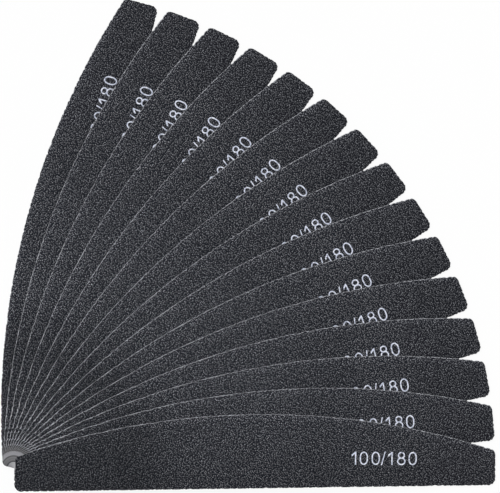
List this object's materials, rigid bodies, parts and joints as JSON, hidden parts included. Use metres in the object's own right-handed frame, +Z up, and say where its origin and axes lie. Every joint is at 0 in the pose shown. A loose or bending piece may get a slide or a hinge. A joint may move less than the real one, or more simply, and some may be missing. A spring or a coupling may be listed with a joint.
{
  "type": "nail file",
  "caption": "Half-moon double-sided nail files, loose in a pile and fanned out about one end. Each is a stiff core between a coarse and a fine abrasive sheet, and turns on the file below.",
  "frame": {"origin": "the middle of the fan's box, on the table that it lies on", "axes": "+Z up, out of the files' coarse faces; +X along the top file from the piled end to its tip, which turns 0.69 degrees towards +Y; +Y towards the tips of the lower files"},
  "size_m": [0.1823, 0.1813, 0.0202],
  "materials": {
    "pale_core": "matte",
    "coarse_grit": "matte",
    "fine_grit": "matte"
  },
  "bodies": {
    "file_01_body": {"file_01_fine_sheet": "fine_grit", "file_01_core": "pale_core", "file_01_coarse_sheet": "coarse_grit"},
    "file_02_body": {"file_02_fine_sheet": "fine_grit", "file_02_core": "pale_core", "file_02_coarse_sheet": "coarse_grit"},
    "file_03_body": {"file_03_fine_sheet": "fine_grit", "file_03_core": "pale_core", "file_03_coarse_sheet": "coarse_grit"},
    "file_04_body": {"file_04_fine_sheet": "fine_grit", "file_04_core": "pale_core", "file_04_coarse_sheet": "coarse_grit"},
    "file_05_body": {"file_05_fine_sheet": "fine_grit", "file_05_core": "pale_core", "file_05_coarse_sheet": "coarse_grit"},
    "file_06_body": {"file_06_fine_sheet": "fine_grit", "file_06_core": "pale_core", "file_06_coarse_sheet": "coarse_grit"},
    "file_07_body": {"file_07_fine_sheet": "fine_grit", "file_07_core": "pale_core", "file_07_coarse_sheet": "coarse_grit"},
    "file_08_body": {"file_08_fine_sheet": "fine_grit", "file_08_core": "pale_core", "file_08_coarse_sheet": "coarse_grit"},
    "file_09_body": {"file_09_fine_sheet": "fine_grit", "file_09_core": "pale_core", "file_09_coarse_sheet": "coarse_grit"},
    "file_10_body": {"file_10_fine_sheet": "fine_grit", "file_10_core": "pale_core", "file_10_coarse_sheet": "coarse_grit"},
    "file_11_body": {"file_11_fine_sheet": "fine_grit", "file_11_core": "pale_core", "file_11_coarse_sheet": "coarse_grit"},
    "file_12_body": {"file_12_fine_sheet": "fine_grit", "file_12_core": "pale_core", "file_12_coarse_sheet": "coarse_grit"},
    "file_13_body": {"file_13_fine_sheet": "fine_grit", "file_13_core": "pale_core", "file_13_coarse_sheet": "coarse_grit"},
    "file_14_body": {"file_14_fine_sheet": "fine_grit", "file_14_core": "pale_core", "file_14_coarse_sheet": "coarse_grit"},
    "file_15_body": {"file_15_fine_sheet": "fine_grit", "file_15_core": "pale_core", "file_15_coarse_sheet": "coarse_grit"}
  },
  "joints": [
    {"name": "file_02_turn", "type": "hinge", "parent": "file_01_body", "child": "file_02_body", "pos_m": [-0.08595, -0.08247, 0.00189], "axis": [-0.1328, -0.6254, 0.769], "range_deg": [0, 6.95]},
    {"name": "file_03_turn", "type": "hinge", "parent": "file_02_body", "child": "file_03_body", "pos_m": [-0.08595, -0.08247, 0.00314], "axis": [0.074, -0.0227, 0.997], "range_deg": [0, 5.35]},
    {"name": "file_04_turn", "type": "hinge", "parent": "file_03_body", "child": "file_04_body", "pos_m": [-0.08595, -0.08247, 0.00441], "axis": [0.0691, -0.0343, 0.997], "range_deg": [0, 5.35]},
    {"name": "file_05_turn", "type": "hinge", "parent": "file_04_body", "child": "file_05_body", "pos_m": [-0.08595, -0.08247, 0.00568], "axis": [0.0645, -0.0429, 0.997], "range_deg": [0, 5.35]},
    {"name": "file_06_turn", "type": "hinge", "parent": "file_05_body", "child": "file_06_body", "pos_m": [-0.08595, -0.08247, 0.00696], "axis": [0.0605, -0.049, 0.997], "range_deg": [0, 5.35]},
    {"name": "file_07_turn", "type": "hinge", "parent": "file_06_body", "child": "file_07_body", "pos_m": [-0.08595, -0.08247, 0.00825], "axis": [0.0571, -0.0532, 0.9969], "range_deg": [0, 5.35]},
    {"name": "file_08_turn", "type": "hinge", "parent": "file_07_body", "child": "file_08_body", "pos_m": [-0.08595, -0.08247, 0.00954], "axis": [0.0514, -0.0591, 0.9969], "range_deg": [0, 5.35]},
    {"name": "file_09_turn", "type": "hinge", "parent": "file_08_body", "child": "file_09_body", "pos_m": [-0.08595, -0.08247, 0.01083], "axis": [0.0447, -0.0648, 0.9969], "range_deg": [0, 5.35]},
    {"name": "file_10_turn", "type": "hinge", "parent": "file_09_body", "child": "file_10_body", "pos_m": [-0.08595, -0.08247, 0.01214], "axis": [0.0386, -0.0691, 0.9969], "range_deg": [0, 5.35]},
    {"name": "file_11_turn", "type": "hinge", "parent": "file_10_body", "child": "file_11_body", "pos_m": [-0.08595, -0.08247, 0.01345], "axis": [0.0321, -0.0728, 0.9968], "range_deg": [0, 5.35]},
    {"name": "file_12_turn", "type": "hinge", "parent": "file_11_body", "child": "file_12_body", "pos_m": [-0.08595, -0.08247, 0.01476], "axis": [0.0265, -0.0753, 0.9968], "range_deg": [0, 5.35]},
    {"name": "file_13_turn", "type": "hinge", "parent": "file_12_body", "child": "file_13_body", "pos_m": [-0.08595, -0.08247, 0.01609], "axis": [0.0191, -0.0779, 0.9968], "range_deg": [0, 5.35]},
    {"name": "file_14_turn", "type": "hinge", "parent": "file_13_body", "child": "file_14_body", "pos_m": [-0.08595, -0.08247, 0.01742], "axis": [0.0104, -0.08, 0.9967], "range_deg": [0, 5.35]},
    {"name": "file_15_turn", "type": "hinge", "parent": "file_14_body", "child": "file_15_body", "pos_m": [-0.08595, -0.08247, 0.01875], "axis": [0.0029, -0.0811, 0.9967], "range_deg": [0, 5.35]}
  ]
}
